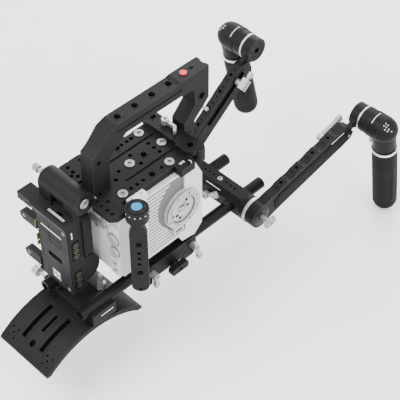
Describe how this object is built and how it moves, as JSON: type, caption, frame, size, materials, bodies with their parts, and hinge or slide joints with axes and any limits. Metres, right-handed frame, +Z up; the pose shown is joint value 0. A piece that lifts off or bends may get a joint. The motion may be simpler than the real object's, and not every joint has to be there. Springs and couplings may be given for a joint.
{
  "type": "cinema camera shoulder rig",
  "caption": "Box camera in a cage on twin rods with top handle, hinged battery plate, shoulder pad, crossbar and two swing arms carrying handgrips.",
  "frame": {"origin": "mouth of the 3/8 inch tripod thread in the middle of the bridge plate's underside", "axes": "+Z up, +Y forward towards the lens, +X to the operator's right"},
  "size_m": [0.2464, 0.5485, 0.3307],
  "materials": {
    "camera_shell": "bead-blasted, light silver",
    "port_metal": "satin",
    "mount_steel": "turned",
    "black_alloy": "black anodised",
    "handle_alloy": "black anodised",
    "arm_alloy": "black anodised",
    "battery_case": "fine texture",
    "rod_black": "black anodised",
    "steel_screw": "turned",
    "silver_lever": "satin anodised",
    "silver_ring": "turned",
    "dial_silver": "satin",
    "port_gold": "black with gilt contacts",
    "grip_rubber": "ribbed",
    "knob_black": "knurled",
    "pad_rubber": "soft foam rubber",
    "shoulder_alloy": "black anodised",
    "red_button": "moulded",
    "blue_button": "moulded, lit ring"
  },
  "bodies": {
    "rig": {"camera_body": "camera_shell", "side_port": "port_metal", "lens_mount": "mount_steel", "rear_panel": "camera_shell", "rear_connector": "camera_shell", "rear_bracket": "silver_lever", "cable_clip": "camera_shell", "top_plate": "black_alloy", "top_screws": "steel_screw", "front_bracket": "black_alloy", "side_clamp": "black_alloy", "cheese_plate": "black_alloy", "top_handle": "handle_alloy", "side_bracket": "black_alloy", "hinge_bracket": "black_alloy", "riser_plate": "black_alloy", "bridge_plate": "black_alloy"},
    "rods": {"rods": "rod_black"},
    "crossbar": {"crossbar": "black_alloy", "crossbar_rings": "silver_ring"},
    "crossbar_lever": {"crossbar_lever": "silver_lever"},
    "shoulder": {"shoulder_clamp": "black_alloy", "shoulder_plate": "shoulder_alloy", "shoulder_cushion": "pad_rubber"},
    "clamp_knob": {"clamp_knob": "silver_lever"},
    "release_lever": {"release_lever": "silver_lever"},
    "arm_right": {"arm_right": "arm_alloy", "arm_pad_right": "grip_rubber"},
    "arm_left": {"arm_left": "arm_alloy"},
    "extension_right": {"extension_right": "black_alloy", "ring_right": "silver_ring"},
    "extension_left": {"extension_left": "black_alloy", "ring_left": "silver_ring"},
    "grip_right": {"knuckle_right": "black_alloy", "grip_right": "grip_rubber"},
    "grip_left": {"knuckle_left": "black_alloy", "grip_left": "grip_rubber"},
    "arm_lever_right": {"arm_lever_right": "silver_lever"},
    "arm_lever_left": {"arm_lever_left": "silver_lever"},
    "pivot_bolt_right": {"pivot_bolt_right": "steel_screw"},
    "pivot_bolt_left": {"pivot_bolt_left": "steel_screw"},
    "thumb_screw_left": {"thumb_screw_left": "steel_screw"},
    "grip_lever_right": {"grip_lever_right": "silver_lever"},
    "grip_lever_left": {"grip_lever_left": "silver_lever"},
    "front_lever": {"front_lever": "silver_lever"},
    "rod_lever_front": {"rod_levers_front": "silver_lever"},
    "rod_lever_rear": {"rod_levers_rear": "silver_lever"},
    "dovetail_knob": {"dovetail_knob": "knob_black"},
    "side_arm": {"side_arm": "handle_alloy"},
    "blue_button": {"blue_button": "blue_button"},
    "record_button": {"record_button": "red_button"},
    "battery": {"battery_plate": "battery_case", "battery_frame": "battery_case", "battery_hinge": "black_alloy", "battery_ports": "port_gold", "battery_screws": "steel_screw"},
    "hinge_screw": {"hinge_screw": "steel_screw"},
    "dial_upper": {"dial_upper": "dial_silver"},
    "dial_lower": {"dial_lower": "dial_silver"}
  },
  "joints": [
    {"name": "rods_slide", "type": "slide", "parent": "rig", "child": "rods", "axis": [0, 1, 0], "range_m": [-0.015, 0.01]},
    {"name": "crossbar_slide", "type": "slide", "parent": "rods", "child": "crossbar", "axis": [0, 1, 0], "range_m": [-0.035, 0.02]},
    {"name": "shoulder_slide", "type": "slide", "parent": "rods", "child": "shoulder", "axis": [0, 1, 0], "range_m": [-0.006, 0.016]},
    {"name": "arm_right_pitch", "type": "hinge", "parent": "crossbar", "child": "arm_right", "pos_m": [0.066, 0.121, 0.022], "axis": [1, 0, 0], "range_deg": [-50, 60]},
    {"name": "arm_left_pitch", "type": "hinge", "parent": "crossbar", "child": "arm_left", "pos_m": [-0.066, 0.121, 0.022], "axis": [1, 0, 0], "range_deg": [-75, 40]},
    {"name": "extension_right_slide", "type": "slide", "parent": "arm_right", "child": "extension_right", "axis": [0, 0.9781, 0.2079], "range_m": [-0.006, 0.03]},
    {"name": "extension_left_slide", "type": "slide", "parent": "arm_left", "child": "extension_left", "axis": [0, 0.7771, 0.6293], "range_m": [0, 0.03]},
    {"name": "grip_right_tilt", "type": "hinge", "parent": "extension_right", "child": "grip_right", "pos_m": [0.08, 0.31076, 0.06234], "axis": [1, 0, 0], "range_deg": [-60, 60]},
    {"name": "grip_left_tilt", "type": "hinge", "parent": "extension_left", "child": "grip_left", "pos_m": [-0.08, 0.25156, 0.12773], "axis": [1, 0, 0], "range_deg": [-60, 60]},
    {"name": "arm_lever_right_turn", "type": "hinge", "parent": "arm_right", "child": "arm_lever_right", "pos_m": [0.058, 0.24727, 0.05804], "axis": [1, 0, 0], "range_deg": [-40, 40]},
    {"name": "arm_lever_left_turn", "type": "hinge", "parent": "arm_left", "child": "arm_lever_left", "pos_m": [-0.058, 0.21581, 0.09878], "axis": [1, 0, 0], "range_deg": [-40, 40]},
    {"name": "pivot_bolt_right_turn", "type": "hinge", "parent": "arm_right", "child": "pivot_bolt_right", "pos_m": [0.08, 0.121, 0.022], "axis": [1, 0, 0], "continuous": true},
    {"name": "pivot_bolt_left_turn", "type": "hinge", "parent": "arm_left", "child": "pivot_bolt_left", "pos_m": [-0.08, 0.121, 0.022], "axis": [1, 0, 0], "continuous": true},
    {"name": "thumb_screw_left_turn", "type": "hinge", "parent": "arm_left", "child": "thumb_screw_left", "pos_m": [-0.076, 0.1694, 0.07664], "axis": [1, 0, 0], "continuous": true},
    {"name": "grip_lever_right_turn", "type": "hinge", "parent": "grip_right", "child": "grip_lever_right", "pos_m": [0.083, 0.31423, 0.04264], "axis": [0, 0.1736, -0.9848], "range_deg": [-60, 60]},
    {"name": "grip_lever_left_turn", "type": "hinge", "parent": "grip_left", "child": "grip_lever_left", "pos_m": [-0.083, 0.2564, 0.10832], "axis": [0, 0.2419, -0.9703], "range_deg": [-60, 60]},
    {"name": "crossbar_lever_turn", "type": "hinge", "parent": "crossbar", "child": "crossbar_lever", "pos_m": [-0.006, 0.1086, 0.014], "axis": [0, 1, 0], "range_deg": [-30, 30]},
    {"name": "front_lever_turn", "type": "hinge", "parent": "rig", "child": "front_lever", "pos_m": [-0.0145, 0.0476, 0.168], "axis": [0, 0, 1], "range_deg": [-60, 8]},
    {"name": "rod_lever_front_turn", "type": "hinge", "parent": "rig", "child": "rod_lever_front", "pos_m": [0.0432, 0.032, 0.018], "axis": [1, 0, 0], "range_deg": [-25, 25]},
    {"name": "rod_lever_rear_turn", "type": "hinge", "parent": "rig", "child": "rod_lever_rear", "pos_m": [0.0432, -0.033, 0.018], "axis": [1, 0, 0], "range_deg": [-25, 25]},
    {"name": "dovetail_knob_turn", "type": "hinge", "parent": "rig", "child": "dovetail_knob", "pos_m": [0.05, 0, 0.011], "axis": [1, 0, 0], "continuous": true},
    {"name": "side_arm_swing", "type": "hinge", "parent": "rig", "child": "side_arm", "pos_m": [0.0595, -0.0656, 0.158], "axis": [0, 0, 1], "range_deg": [-80, 80]},
    {"name": "blue_button_press", "type": "slide", "parent": "side_arm", "child": "blue_button", "axis": [0, 0, -1], "range_m": [0, 0.001], "stiffness_N_per_m": 400},
    {"name": "record_button_press", "type": "slide", "parent": "rig", "child": "record_button", "axis": [0, 0, -1], "range_m": [0, 0.001], "stiffness_N_per_m": 300},
    {"name": "battery_swing", "type": "hinge", "parent": "rig", "child": "battery", "pos_m": [-0.017, -0.0985, 0.16], "axis": [-1, 0, 0], "range_deg": [0, 80]},
    {"name": "hinge_screw_turn", "type": "hinge", "parent": "battery", "child": "hinge_screw", "pos_m": [-0.055, -0.0985, 0.16], "axis": [1, 0, 0], "continuous": true},
    {"name": "dial_upper_turn", "type": "hinge", "parent": "rig", "child": "dial_upper", "pos_m": [0.0346, -0.085, 0.106], "axis": [0, 1, 0], "continuous": true},
    {"name": "dial_lower_turn", "type": "hinge", "parent": "rig", "child": "dial_lower", "pos_m": [0.0361, -0.085, 0.088], "axis": [0, 1, 0], "continuous": true},
    {"name": "release_lever_turn", "type": "hinge", "parent": "shoulder", "child": "release_lever", "pos_m": [0.013, -0.088, 0.0085], "axis": [0, 1, 0], "range_deg": [0, 10]},
    {"name": "clamp_knob_turn", "type": "hinge", "parent": "shoulder", "child": "clamp_knob", "pos_m": [-0.055, -0.119, 0.008], "axis": [1, 0, 0], "continuous": true}
  ]
}
